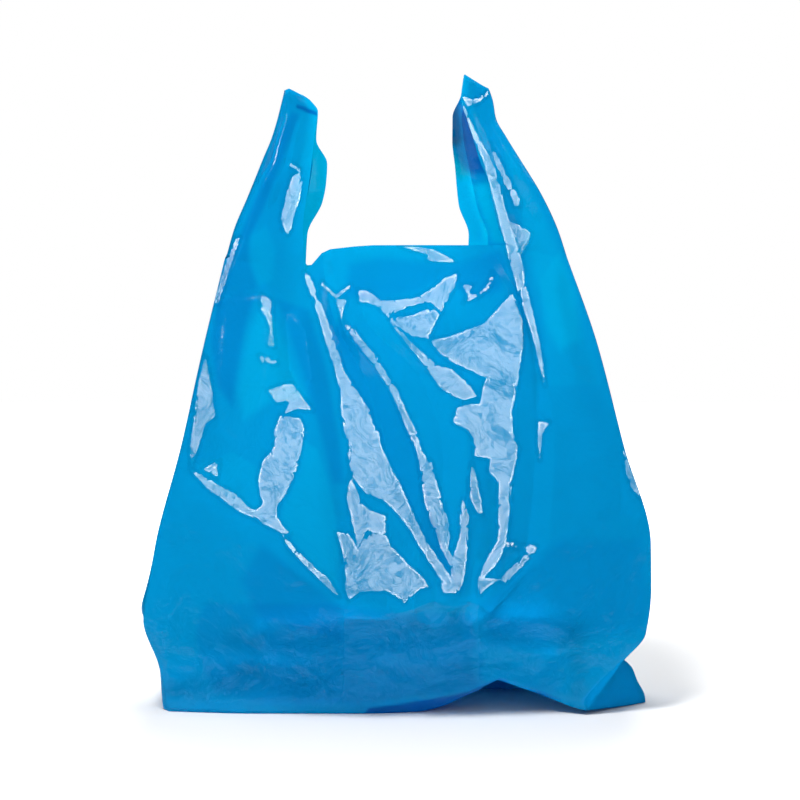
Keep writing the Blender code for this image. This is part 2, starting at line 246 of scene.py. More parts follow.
# The tube as an array of points, rows from the floor to the mouth, and the column of each rail
def tubePoints():
    rails = loopRails()
    rows = bag["sideRows"] + bag["bodyRows"] + 1
    number = np.arange(rows)
    lines = []
    for kind, path, depth, hip, top, _ in rails:
        x, y = railPoint(kind, path, depth, hip, 0.0)
        lift = floorLift(x, y)
        z = np.where(number <= bag["sideRows"], lift + (hip - lift) * number / bag["sideRows"],
                     hip + (top - hip) * (number - bag["sideRows"]) / bag["bodyRows"])
        x, y = railPoint(kind, path, depth, hip, np.where(z < hip, z - lift * (1 - z / hip), z))
        lines.append(np.stack([x, y, z], axis=1))
    columns = []
    kinds = []
    for i, rail in enumerate(rails):
        here, there = lines[i], lines[(i + 1) % len(rails)]
        for step in range(rail[5]):
            share = step / rail[5]
            p = here + (there - here) * share
            nearer = np.minimum(abs(here[:, 1]), abs(there[:, 1]))
            flat = (nearer < bag["flatReach"]) | (here[:, 1] * there[:, 1] < 0)
            sign = np.sign(p[:, 1])
            reach = [np.where(sign < 0, frontReach(q[:, 0], q[:, 2]), backReach(q[:, 0], q[:, 2]))
                     for q in (p, here, there)]
            onPanel = (sign * reach[0] + (here[:, 1] - sign * reach[1]) * (1 - share)
                       + (there[:, 1] - sign * reach[2]) * share)
            p[:, 1] = np.where(flat, p[:, 1], onPanel)
            columns.append(p)
            kinds.append(rail[0] if rail[0] != "frontSide" or i == len(rails) - 1 else "side")
    stands = np.cumsum([0] + [rail[5] for rail in rails])
    return np.stack(columns, axis=1), stands, kinds


# Rows of one strap, from its inner edge to the outer fold and back along the gusset layer
def strapPoints(name, sign, side, columns, gussetColumns, start):
    inner, outer = straps[name]["inner"], straps[name]["outer"]
    tip, drop, peak = straps["tips"][side]
    rows = bag["strapRows"]
    up = np.minimum(np.arange(1, rows + 1) / (rows - 1), 1)[:, None]
    last = (np.arange(1, rows + 1) == rows)[:, None]
    column = np.arange(columns + gussetColumns + 1)[None, :]
    across = np.minimum(column / columns, 1)
    inward = np.maximum(column - columns, 0) / gussetColumns
    beside = np.minimum(4 * inward, 1)
    close = blend(*straps["closing"], up)
    start = start[np.minimum(column[0], columns)]
    foot = start[None, :, 2] - 2 * inward
    crown = tip - drop * abs(across - straps["gussetReach"] * inward - peak)
    crown = crown - (straps["crest"] + straps["layerDrop"]) * beside
    z = np.where(last, crown, foot + (crown - straps["crest"] - foot) * up)
    xInner, xOuter = curve(inner, z), curve(outer, z)
    x = xOuter + (xInner - xOuter) * (1 - across + straps["gussetReach"] * inward)
    reach = abs(start[None, :, 1]) - straps["lean"] * up
    reach = reach + (straps["tabGap"] - reach) * close
    reach = reach - straps["gap"] * inward ** 0.8 * (1 - close) - straps["layerGap"] * beside * close
    gather = straps["gather"] * np.sin(across * straps["gathers"] * np.pi)
    gather = gather * blend(0, 0.6, up) * (1 - 0.75 * close)
    y = np.where(last, 0, sign * (reach + gather * (1 - beside)))
    return np.stack([x, y, z], axis=2)


# Facets of the film that catch the softbox: turn and lean in degrees, and corners in the picture's pixels
facets = [
    # left pleat, from the mouth down to the crease
    (-9, 30, [(310, 283), (318, 302), (326, 322), (335, 348), (343, 369), (350, 380), (358, 393),
        (370, 410), (373, 424), (379, 432), (383, 450), (390, 466), (400, 484), (407, 500), (418, 524),
        (430, 546), (439, 560), (450, 576), (460, 590), (450, 590), (440, 578), (430, 563), (419, 546),
        (410, 530), (398, 514), (382, 499), (366, 494), (352, 476), (348, 456), (350, 448), (344, 430),
        (341, 410), (340, 384), (335, 362), (328, 336), (320, 310), (312, 292)]),
    (-11, 29, [(349, 475), (356, 488), (361, 502), (371, 511), (386, 516), (386, 534), (366, 532),
        (358, 548), (352, 522), (347, 500)]),
    (-8, 31, [(336, 531), (349, 534), (358, 549), (367, 534), (386, 535), (391, 546), (404, 559),
        (409, 566), (419, 573), (430, 587), (420, 589), (411, 597), (404, 603), (396, 596), (386, 591),
        (372, 591), (360, 592), (349, 600), (345, 588), (345, 565), (341, 546)]),
    (-9, 30, [(304, 272), (310, 276), (320, 300), (328, 322), (334, 340), (341, 360), (346, 380),
        (352, 398), (345, 400), (337, 380), (332, 360), (325, 340), (320, 322), (313, 300), (307, 284)]),
    (-9, 30, [(322, 282), (336, 295), (350, 284), (351, 287), (336, 299), (321, 285)]),
    # second pleat
    (-7, 30, [(342, 322), (354, 328), (363, 341), (377, 357), (388, 376), (398, 391), (406, 411),
        (416, 430), (422, 451), (432, 463), (435, 477), (442, 499), (448, 520), (450, 538), (448, 549),
        (455, 560), (463, 571), (455, 573), (446, 558), (440, 547), (437, 534), (430, 520), (424, 500),
        (421, 478), (419, 462), (415, 447), (407, 430), (399, 410), (391, 392), (383, 379), (374, 365),
        (361, 349), (351, 335)]),
    (-12, 29, [(463, 499), (469, 516), (468, 540), (467, 558), (464, 580), (458, 593), (444, 593),
        (440, 584), (450, 580), (451, 566), (455, 551), (460, 534), (460, 512)]),
    (-6, 33, [(472, 463), (477, 480), (481, 498), (483, 515), (477, 512), (470, 498), (468, 482)]),
    # mouth
    (-13, 28, [(380, 301), (397, 300), (416, 298), (430, 290), (445, 278), (458, 273), (455, 286),
        (448, 300), (441, 312), (433, 305), (420, 303), (406, 308), (391, 314)]),
    (-9, 32, [(394, 317), (410, 316), (425, 310), (434, 309), (440, 314), (433, 328), (428, 338),
        (412, 336), (400, 327)]),
    (-7, 29, [(380, 305), (386, 313), (392, 319), (400, 330), (411, 342), (425, 355), (438, 366),
        (452, 369), (468, 384), (478, 397), (464, 400), (452, 396), (440, 387), (427, 369), (411, 349),
        (399, 334), (388, 319)]),
    (-10, 31, [(336, 299), (347, 299), (344, 309), (342, 321), (339, 309)]),
    (-10, 31, [(358, 290), (368, 291), (376, 297), (383, 305), (391, 315), (384, 313), (376, 305),
        (368, 303), (360, 302)]),
    (-15, 34, [(400, 246), (420, 247), (434, 250), (446, 256), (458, 262), (440, 262), (427, 260),
        (429, 254), (415, 251)]),
    (-14, 26, [(462, 285), (472, 285), (470, 291), (476, 297), (488, 284), (492, 272), (494, 278),
        (488, 290), (478, 297), (463, 303), (468, 296)]),
    # the broad facet of the fourth pleat
    (-9, 30, [(430, 340), (448, 337), (470, 329), (484, 324), (498, 308), (513, 293), (518, 306),
        (523, 322), (523, 348), (519, 372), (516, 392), (512, 410), (513, 432), (519, 450), (512, 480),
        (509, 520), (506, 541), (502, 556), (494, 567), (484, 578), (503, 579), (490, 585), (479, 596),
        (478, 580), (486, 560), (498, 540), (499, 482), (489, 472), (490, 459), (475, 456), (473, 438),
        (468, 430), (453, 422), (457, 408), (470, 404), (480, 404), (482, 392), (486, 378), (474, 372),
        (458, 365), (442, 356)]),
    (-7, 31, [(538, 547), (524, 564), (506, 583), (499, 580), (515, 564), (528, 552), (502, 545),
        (502, 541), (520, 543)]),
    # left side
    (-10, 31, [(280, 416), (300, 418), (304, 428), (303, 440), (300, 456), (296, 472), (286, 492),
        (278, 506), (277, 517), (283, 526), (291, 534), (282, 533), (268, 526), (257, 520), (240, 512),
        (222, 499), (206, 487), (190, 469), (208, 479), (222, 487), (236, 494), (247, 506), (255, 511),
        (263, 504), (260, 494), (258, 480), (260, 470), (263, 460), (270, 454), (275, 444), (274, 432)]),
    (-16, 33, [(280, 531), (292, 545), (305, 558), (318, 570), (328, 578), (339, 597), (326, 586),
        (316, 576), (302, 562), (288, 547)]),
    (-19, 26, [(268, 390), (280, 386), (292, 383), (302, 396), (313, 411), (298, 409), (284, 414),
        (290, 402), (276, 402)]),
    (-20, 26, [(205, 356), (209, 372), (212, 390), (215, 416), (206, 424), (202, 436), (199, 446),
        (194, 458), (191, 468), (190, 446), (193, 425), (195, 404), (199, 380)]),
    (-17, 26, [(261, 295), (268, 298), (273, 303), (272, 318), (273, 334), (275, 347), (268, 345),
        (270, 330), (267, 318), (261, 310)]),
    (-18, 27, [(259, 355), (276, 361), (277, 364), (262, 362)]),
    (-10, 27, [(202, 469), (220, 460), (218, 477)]),
    (-18, 28, [(236, 238), (240, 238), (232, 262), (225, 284), (218, 304), (214, 303), (220, 282),
        (227, 260)]),
    # straps
    (-9, 30, [(300, 172), (302, 182), (300, 200), (295, 212), (291, 230), (288, 235), (282, 228),
        (281, 218), (284, 206), (287, 192), (292, 177)]),
    (-12, 32, [(287, 160), (300, 169), (300, 172), (288, 165)]),
    (-8, 30, [(462, 101), (468, 115), (473, 127), (482, 143), (490, 157), (497, 173), (501, 186),
        (505, 208), (510, 222), (514, 236), (519, 250), (523, 264), (525, 282), (532, 308), (538, 334),
        (543, 362), (545, 386), (541, 372), (535, 346), (529, 325), (521, 302), (515, 281), (510, 262),
        (505, 244), (499, 222), (493, 198), (489, 182), (485, 166), (478, 148), (471, 132), (465, 116)]),
    (-18, 27, [(490, 143), (498, 157), (505, 172), (513, 186), (519, 198), (520, 206), (515, 206),
        (508, 190), (501, 178), (496, 166)]),
    (-19, 27, [(510, 222), (522, 226), (531, 233), (528, 244), (520, 256), (515, 240)]),
    (-11, 33, [(462, 96), (470, 99), (480, 98), (488, 91), (489, 94), (482, 100), (473, 105), (467, 106)]),
    # right side
    (-10, 30, [(623, 448), (632, 468), (642, 492), (640, 498), (631, 487), (626, 472)]),
    (-9, 30, [(538, 422), (549, 422), (542, 434), (540, 460), (538, 445)]),
]
# Broad folds that only shade: turn, lean, how softly they begin in pixels, and corners
shades = [
    (15, 8, 9, [(300, 262), (309, 288), (328, 340), (338, 395), (345, 460), (345, 560), (343, 590),
        (330, 572), (322, 500), (316, 420), (304, 340), (296, 290)]),
    (18, 10, 5, [(524, 300), (531, 332), (540, 384), (536, 430), (530, 500), (524, 540), (512, 545),
        (515, 480), (522, 440), (518, 400), (525, 350)]),
    (18, 8, 4, [(476, 458), (489, 474), (497, 484), (497, 538), (484, 562), (474, 560), (478, 518),
        (484, 512), (480, 492)]),
    (10, 19, 9, [(322, 262), (345, 252), (400, 250), (455, 268), (420, 290), (380, 298), (345, 290)]),
    (12, 9, 4, [(288, 108), (322, 112), (322, 150), (318, 200), (304, 250), (296, 262), (270, 262),
        (246, 262), (258, 220), (276, 165)]),
    (-26, 40, 3, [(284, 112), (288, 116), (272, 160), (256, 202), (240, 250), (226, 280), (220, 278),
        (236, 232), (256, 180), (272, 136)]),
    (-24, 34, 9, [(226, 300), (262, 296), (268, 350), (262, 400), (240, 440), (222, 430), (218, 370)]),
    (-26, 30, 9, [(286, 310), (306, 330), (312, 380), (300, 390), (286, 370)]),
    (16, 4, 7, [(276, 300), (284, 304), (290, 350), (296, 384), (280, 384), (276, 350)]),
    (14, 6, 8, [(262, 240), (300, 232), (304, 262), (300, 300), (286, 320), (268, 290)]),
    (-8, 6, 8, [(150, 560), (196, 500), (250, 535), (300, 575), (351, 606), (353, 702), (165, 706),
        (162, 660), (140, 615)]),
    (2, 4, 6, [(338, 606), (365, 604), (404, 612), (440, 604), (484, 602), (486, 640), (486, 690),
        (455, 700), (337, 704)]),
    (10, 6, 6, [(471, 606), (500, 592), (540, 560), (600, 520), (650, 520), (655, 590), (648, 640),
        (620, 660), (586, 702), (545, 696), (502, 682), (472, 690), (472, 640)]),
    (24, 10, 2, [(624, 659), (634, 672), (648, 706), (586, 712), (583, 700), (592, 688), (608, 672)]),
    (18, 4, 7, [(560, 250), (572, 290), (590, 350), (606, 410), (600, 440), (582, 400), (566, 340),
        (556, 290)]),
]
# Painted light and shade on the film, partly where it lies in more layers or fewer: what is left of the
# colour, softness in pixels, side and corners
paintedTones = [
    # inside the right loop, painted shade, and painted light on its rear strap
    ((0.45, 0.5, 0.77), 5, "rear", [(440, 108), (461, 94), (472, 118), (480, 142), (486, 160), (486, 172),
        (474, 174), (465, 170), (456, 158), (444, 138)]),
    ((0.4, 0.4, 0.42), 5, "rear", [(436, 94), (456, 98), (461, 118), (463, 138), (458, 146), (438, 142)]),
    ((0.78, 0.78, 0.7), 5, "rear", [(440, 142), (463, 138), (470, 172), (462, 180), (446, 170)]),
    ((1.2, 1.4, 1.14), 3, "rear", [(472, 186), (494, 180), (502, 210), (510, 243), (489, 243), (484, 222),
        (476, 200)]),
    ((0.93, 0.88, 0.94), 6, "rear", [(450, 176), (468, 184), (474, 200), (484, 226), (487, 243), (468, 243),
        (456, 210)]),
    # left strap
    (0.45, 1, "front", [(297, 105), (305, 107), (312, 110), (319, 113), (317, 116), (309, 113), (302, 110),
        (296, 108)]),
    (0.8, 3, "front", [(292, 112), (300, 114), (290, 140), (276, 176), (262, 212), (248, 240), (238, 240),
        (252, 206), (268, 168), (280, 134)]),
    (1.08, 3, "front", [(300, 112), (318, 116), (318, 150), (322, 166), (300, 166), (284, 172),
        (291, 144)]),
    (1.12, 4, "front", [(250, 236), (266, 226), (276, 250), (272, 280), (258, 286), (250, 262)]),
    (0.86, 4, "front", [(232, 246), (248, 240), (250, 262), (258, 288), (240, 296), (218, 296),
        (222, 268)]),
    # left side, above the crease
    (0.8, 4, "front", [(217, 299), (255, 293), (244, 331), (236, 375), (233, 407), (217, 385), (211, 342)]),
    (1.2, 5, "front", [(248, 334), (262, 300), (280, 330), (298, 380), (306, 398), (270, 402), (244, 420),
        (238, 390)]),
    (0.84, 4, "front", [(276, 299), (309, 310), (325, 364), (339, 440), (344, 483), (333, 483), (320, 429),
        (304, 375), (285, 320)]),
    (1.14, 2, "front", [(304, 440), (318, 450), (333, 500), (339, 548), (337, 588), (318, 571), (290, 537),
        (280, 520), (284, 504), (296, 480)]),
    (1.1, 1.5, "front", [(196, 466), (232, 452), (262, 470), (258, 500), (262, 518), (240, 505), (222, 493),
        (206, 480)]),
    # between the pleats, the mouth and the right side
    (0.87, 2, "front", [(340, 318), (352, 330), (365, 352), (385, 385), (400, 412), (415, 440), (421, 470),
        (430, 510), (445, 550), (455, 575), (462, 590), (452, 578), (436, 556), (415, 520), (398, 480),
        (385, 450), (373, 420), (358, 392), (343, 366), (333, 335)]),
    (0.85, 6, "both", [(350, 264), (380, 258), (455, 264), (500, 250), (508, 262), (500, 290), (470, 300),
        (450, 275), (420, 292), (380, 300), (345, 296)]),
    (1.18, 6, "front", [(505, 150), (520, 170), (545, 215), (575, 290), (580, 340), (560, 350), (548, 330),
        (530, 260), (520, 215)]),
    (1.06, 2, "front", [(548, 386), (545, 330), (540, 280), (560, 250), (575, 290), (602, 384)]),
    # below the crease: painted light over a shadowed band, painted shade, and a painted dark band under the
    # raised base
    (0.86, 6, "front", [(262, 545), (300, 575), (340, 606), (340, 640), (262, 620), (240, 580)]),
    ((0.8, 1.46, 1.5), 22, "front", [(256, 640), (262, 626), (310, 619), (350, 610), (384, 620), (430, 630),
        (458, 626), (478, 607), (540, 609), (560, 630), (560, 690), (548, 706), (504, 700), (478, 710),
        (369, 710), (264, 706), (256, 694)]),
    (0.88, 3, "front", [(205, 603), (330, 604), (400, 614), (440, 613), (472, 614), (473, 630), (477, 640),
        (470, 660), (477, 684), (455, 690), (369, 703), (260, 704), (215, 690), (200, 660), (196, 630)]),
    (0.9, 8, "front", [(480, 604), (520, 572), (560, 540), (640, 540), (650, 590), (646, 630), (560, 640),
        (490, 640)]),
    ((1, 1.2, 1.16), 8, "front", [(482, 650), (548, 650), (572, 662), (568, 696), (545, 698), (504, 686),
        (484, 690)]),
    ((1, 1.2, 1.24), 16, "front", [(152, 668), (215, 656), (246, 652), (252, 722), (152, 722)]),
    ((1, 1.14, 1.24), 3, "both", [(624, 659), (632, 672), (645, 704), (590, 712), (582, 700), (592, 688),
        (610, 672)]),
    (0.42, 1.5, "both", [(364, 714), (369, 708), (400, 704), (430, 699), (455, 695), (470, 691), (487, 684),
        (500, 679), (520, 688), (540, 692), (560, 700), (530, 697), (512, 695), (494, 700), (470, 708),
        (440, 714)]),
]
# The way that meets the softbox, in degrees
aim = {
    "turn": -9.3,
    "lean": 30.9,
    "middle": (400, 378),
    "across": -0.038,  # how the turn shifts for each pixel across
    "down": 0.025,  # and the lean for each pixel down
    "own": 0.45,  # how much of a facet's own difference stays
}
crumple = {
    "size": 1024,  # of the field, in pixels
    "margin": 112,
    "cell": 2.0,
    "pixel": 0.756,  # mm
    "strength": 0.8,
    "panelLean": 13.0,
    "planes": 900,  # small flat stretches of film between the facets
    "planeStretch": 0.6,
    "ripple": 3.0,  # their lean in degrees
    "seed": 7,
    "soften": 1.2,
    "outside": -20.0,  # the depth of a point that lies in no facet
}


def insidePolygon(px, py, corners):
    found = np.zeros(px.shape, bool)
    for (x0, y0), (x1, y1) in zip(corners, corners[1:] + corners[:1]):
        crosses = (y0 > py) != (y1 > py)
        found ^= crosses & (px < x0 + (py - y0) * (x1 - x0) / ((y1 - y0) or 1e-9))
    return found


# How far the film stands out, as a grid over the picture, so that each facet has its lean and turn
def crumpleField():
    cell, margin = crumple["cell"], crumple["margin"]
    count = int(crumple["size"] / cell)
    centres = (np.arange(count) + 0.5) * cell - margin
    px, py = np.meshgrid(centres, centres)
    slopeX = np.zeros((count, count))
    slopeY = np.zeros((count, count))
    for turn, lean, corners in facets:
        inside = insidePolygon(px, py, corners)
        slopeX[inside] = -math.tan(math.radians(turn)) * crumple["strength"]
        slopeY[inside] = math.tan(math.radians(lean - crumple["panelLean"])) * crumple["strength"]
    rng = np.random.default_rng(crumple["seed"])
    seeds = rng.uniform(-margin, crumple["size"] - margin, (crumple["planes"], 2))
    tilts = rng.normal(0, math.tan(math.radians(crumple["ripple"])), (crumple["planes"], 2))
    nearest = np.zeros((count, count), int)
    best = np.full((count, count), 1e9)
    for i, (sx, sy) in enumerate(seeds):
        distance = (px - sx) ** 2 + ((py - sy) * crumple["planeStretch"]) ** 2
        closer = distance < best
        best[closer] = distance[closer]
        nearest[closer] = i
    slopeX += tilts[nearest, 0]
    slopeY += tilts[nearest, 1]
    wave = 2 * np.pi * np.fft.fftfreq(count, cell)
    kx, ky = np.meshgrid(wave, wave)
    square = kx ** 2 + ky ** 2
    square[0, 0] = 1
    total = 1j * kx * np.fft.fft2(slopeX) + 1j * ky * np.fft.fft2(slopeY)
    height = -total / square * np.exp(-square * crumple["soften"] ** 2 / 2)
    height[0, 0] = 0
    return np.real(np.fft.ifft2(height)) * crumple["pixel"]


def sample(field, px, py):
    u = np.clip((px + crumple["margin"]) / crumple["cell"] - 0.5, 0, field.shape[0] - 2)
    v = np.clip((py + crumple["margin"]) / crumple["cell"] - 0.5, 0, field.shape[0] - 2)
    i, j = u.astype(int), v.astype(int)
    s, t = u - i, v - j
    return (field[j, i] * (1 - s) * (1 - t) + field[j, i + 1] * s * (1 - t)
            + field[j + 1, i] * (1 - s) * t + field[j + 1, i + 1] * s * t)


def crumpled(field, points, share):
    shift = bag["shift"]
    px, py = seenAt(points[..., 0] + shift[0], points[..., 1] + shift[1], points[..., 2] + shift[2])
    points[..., 1] -= sample(field, px, py) * share
    return points


# How deep each point lies inside its nearest facet, in pixels, and that facet's direction
def facetAt(shapes, px, py):
    depth = np.full(px.shape, crumple["outside"])
    facing = np.zeros(px.shape + (3,))
    facing[..., 1] = -1
    for turn, lean, soft, corners in shapes:
        near = np.full(px.shape, 1e9)
        for (x0, y0), (x1, y1) in zip(corners, corners[1:] + corners[:1]):
            run, rise = x1 - x0, y1 - y0
            along = np.clip(((px - x0) * run + (py - y0) * rise) / (run * run + rise * rise), 0, 1)
            near = np.minimum(near, np.hypot(px - x0 - along * run, py - y0 - along * rise))
        signed = np.where(insidePolygon(px, py, corners), near, -near) / soft
        closer = signed > depth
        depth[closer] = signed[closer]
        t, n = np.radians(turn), np.radians(lean)
        if soft == 1:
            middleX, middleY = aim["middle"]
            t = aim["turn"] + (turn - aim["turn"]) * aim["own"] + (px[closer] - middleX) * aim["across"]
            n = aim["lean"] + (lean - aim["lean"]) * aim["own"] + (py[closer] - middleY) * aim["down"]
            t, n = np.radians(t), np.radians(n)
        way = (np.sin(t) * np.cos(n), -np.cos(t) * np.cos(n), np.sin(n))
        facing[closer] = np.stack(np.broadcast_arrays(*way), axis=-1)
    return depth, facing


def valuesOf(items, name, width=3):
    values = np.empty(len(items) * width)
    items.foreach_get(name, values)
    return values.reshape(-1, width)


def store(mesh, name, kind, field, values):
    values = values.astype(np.float32).ravel()
    mesh.attributes.new(name, kind, "POINT").data.foreach_set(field, values)


# Stores on each point of the front how far it is inside a facet, and the way that facet faces
def markFacets(mesh):
    place = valuesOf(mesh.vertices, "co") * 1000
    normal = valuesOf(mesh.vertices, "normal")
    behind = (place[:, 1] > bag["shift"][1] - 1) | (normal[:, 1] > 0.15)
    crisp = [(turn, lean, 1, corners) for turn, lean, corners in facets]
    for name, shapes in (("facet", crisp), ("shade", shades)):
        depth, facing = facetAt(shapes, *seenAt(place[:, 0], place[:, 1], place[:, 2]))
        depth[behind] = crumple["outside"]
        store(mesh, name + "Depth", "FLOAT", "value", depth)
        store(mesh, name + "Facing", "FLOAT_VECTOR", "vector", facing)


# Stores the painted light and shade on the film: how much of the blue is left in each patch, partly where
# film lies in more layers or fewer
def markPaintedTones(mesh):
    place = valuesOf(mesh.vertices, "co") * 1000
    paintedTone = np.repeat(1 - valuesOf(mesh.attributes["base"].data, "value", 1), 3, axis=1)
    px, py = seenAt(place[:, 0], place[:, 1], place[:, 2])
    # each patch paints light or shade onto the film's colour
    for level, soft, side, corners in paintedTones:
        level = level if isinstance(level, tuple) else (level, level, level ** 0.4)
        depth, _ = facetAt([(0, 0, soft, corners)], px, py)
        share = blend(-1, 1, depth)
        if side != "both":
            share *= (place[:, 1] > bag["shift"][1] - 1) == (side == "rear")
        paintedTone *= 1 + (np.array(level) - 1) * share[:, None]
    store(mesh, "paintedTone", "FLOAT_VECTOR", "vector", paintedTone)


def makeBag():
    field = crumpleField()
    print("crumple", round(float(field.min()), 1), round(float(field.max()), 1))
    tube, stands, kinds = tubePoints()
    count = tube.shape[1]
    front = np.array([1.0 if k == "front" or i >= stands[17] else 0.0 for i, k in enumerate(kinds)])
    front[stands[8]:stands[9]] = 1
    edge = bag["crumpleEdge"]
    for i in range(count):
        if front[i] == 0:
            reachIn = min(abs(i - stands[9]), abs(i - stands[17]))
            front[i] = max(0, 1 - reachIn / edge)
    rise = blend(*bag["crumpleRise"], tube[..., 2])
    smoothBrim = tube[-1].copy()
    tube = crumpled(field, tube, front[None, :] * rise)
    bm = bmesh.new()
    base = bm.verts.layers.float.new("base")
    loops = [[bm.verts.new(p) for p in row] for row in tube]
    for low, high in zip(loops, loops[1:]):
        for i in range(count):
            j = (i + 1) % count
            bm.faces.new((low[i], low[j], high[j], high[i]))
    brim = loops[-1]
    gusset = bag["gusset"]
    plan = [
        ("rightFront", -1, "right", 40, range(stands[8], stands[9] + gusset + 1)),
        ("rightRear", 1, "right", 14, range(stands[12], stands[11] - gusset - 1, -1)),
        ("leftFront", -1, "left", 60, range(count, stands[17] - gusset - 1, -1)),
        ("leftRear", 1, "left", 14, range(stands[14], stands[15] + gusset + 1)),
    ]
    for name, sign, side, columns, foot in plan:
        start = smoothBrim[[i % count for i in foot]]
        points = strapPoints(name, sign, side, columns, gusset, start)
        if sign < 0:
            fade = np.ones(points.shape[:2])
            fade[:, columns:] = np.maximum(0, 1 - np.arange(gusset + 1) / edge)[None, :]
            fade *= 1 - blend(*bag["crumpleEnd"], points[..., 2])
            points = crumpled(field, points, fade)
        below = [brim[i % count] for i in foot]
        for row in points:
            verts = [bm.verts.new(p) for p in row]
            for a, b, c, d in zip(below, below[1:], verts[1:], verts):
                bm.faces.new((a, b, c, d))
            below = verts
    ring = loops[0]
    outer = [np.array(v.co) for v in ring]
    across, deep = bag["baseNarrowing"]
    for share in bag["baseRings"]:
        inner = []
        for p in outer:
            x, y = p[0] * (1 - across * share), p[1] * (1 - deep * share)
            v = bm.verts.new((x, y, floorLift(x, y) + (bag["sealHeight"] if share == 1 else 0)))
            # painted shade on the base's film under the bag
            v[base] = bag["basePaintedShade"]
            inner.append(v)
        for i in range(count):
            j = (i + 1) % count
            bm.faces.new((ring[j], ring[i], inner[i], inner[j]))
        ring = inner
    seam = bm.faces.new(ring)
    bmesh.ops.triangulate(bm, faces=[seam])
    bmesh.ops.remove_doubles(bm, verts=bm.verts, dist=0.01)
    bmesh.ops.recalc_face_normals(bm, faces=bm.faces)
    for v in bm.verts:
        v.co = [(c + s) / 1000 for c, s in zip(v.co, bag["shift"])]
    mesh = bpy.data.meshes.new("bagFilm")
    bm.to_mesh(mesh)
    bm.free()
    piece = bpy.data.objects.new("bagFilm", mesh)
    bpy.context.scene.collection.objects.link(piece)
    mesh.shade_smooth()
    markFacets(mesh)
    markPaintedTones(mesh)
    print("bag", len(mesh.polygons), "faces")
    return piece


# Film: glossy, letting some light through, with a fine crumple and slow changes of blue
film = {
    "deep": (0.0, 0.245, 0.51, 1),
    "pale": (0.0, 0.335, 0.68, 1),
    "through": (0.0, 0.48, 0.73, 1),
    "throughShare": 0.38,
    "roughness": (0.12, 0.24, 0.11),  # plain, in a facet, on its rim
    "specular": 0.16,
    # painted shade: the film's colour is darkened in a facet, where it faces the lamp
    "facetPaintedShade": (0.8, 0.87, 0.8, 1),  # what is left of the film's colour in a facet
    # painted shade just outside a facet, along the shaded side of its fold
    "foot": (0.8, 0.84, 0.86, 1),  # and just outside it
    "facetEdge": 0.5,  # how softly a facet begins, in pixels
    # where the rim and the painted shade beside a facet lie, how wide each is in full and to where it
    # fades, in pixels
    "rimPlace": (-0.9, 0.6, 1.5),
    "foldShadePlace": (1.8, 0.6, 2.2),
    "wobbleScale": 330.0,
    "wobble": 2.8,  # of the facets' edges, in pixels
    "crackScale": 75.0,
    "crackStretch": (1, 1, 0.45),
    "crackWidth": 0.07,
    "crackDepth": 2.4,
    "crackPatch": (60.0, 0.47, 0.56),  # size of the stretches with cracks
    "rimPatch": (55.0, 0.44, 0.52),  # and of those with a bright rim
    "bendScale": 9.0,
    "bend": 0.12,
    "crumpleScale": 34.0,
    "crumpleHeight": 0.0009,
    "smoothness": 0.35,
    "fineScale": 170.0,
    "fineHeight": 0.00016,
    "distortion": 1.2,
    "tiltScale": 260.0,
    "tiltRoughness": 0.6,
    "tilt": (0.05, 0.07, 0.0),
}


def calculate(nodes, links, operation, *values):
    node = nodes.new("ShaderNodeMath")
    node.operation = operation
    for slot, value in zip(node.inputs, values):
        if isinstance(value, (int, float)):
            slot.default_value = value
        else:
            links.new(value, slot)
    return node.outputs[0]


def vectorOf(nodes, links, operation, **values):
    node = nodes.new("ShaderNodeVectorMath")
    node.operation = operation
    for name, value in values.items():
        slot = node.inputs["Scale"] if name == "scale" else node.inputs[("first", "second").index(name)]
        if isinstance(value, tuple):
            slot.default_value = value
        else:
            links.new(value, slot)
    return node.outputs["Vector"]


def ramp(nodes, links, value, low, high, first=0.0, last=1.0):
    node = nodes.new("ShaderNodeMapRange")
    node.interpolation_type = "SMOOTHSTEP"
    for name, level in (("From Min", low), ("From Max", high), ("To Min", first), ("To Max", last)):
        node.inputs[name].default_value = level
    links.new(value, node.inputs["Value"])
    return node.outputs["Result"]


def noiseOf(nodes, links, place, scale, detail):
    node = nodes.new("ShaderNodeTexNoise")
    node.inputs["Scale"].default_value = scale
    node.inputs["Detail"].default_value = detail
    links.new(place, node.inputs["Vector"])
    return node


def bumped(nodes, links, height, distance, normal):
    node = nodes.new("ShaderNodeBump")
    links.new(height, node.inputs["Height"])
    links.new(distance, node.inputs["Distance"])
    links.new(normal, node.inputs["Normal"])
    return node.outputs["Normal"]


def mixed(nodes, links, kind, factor, first, second):
    node = nodes.new("ShaderNodeMix")
    node.data_type = kind
    for name, value in (("Factor", factor), ("A", first), ("B", second)):
        if isinstance(value, (tuple, float)):
            node.inputs[name].default_value = value
        else:
            links.new(value, node.inputs[name])
    return node


def tinted(nodes, links, colour, factor, tint):
    node = mixed(nodes, links, "RGBA", factor, colour, tint)
    node.blend_type = "MULTIPLY"
    return node.outputs["Result"]


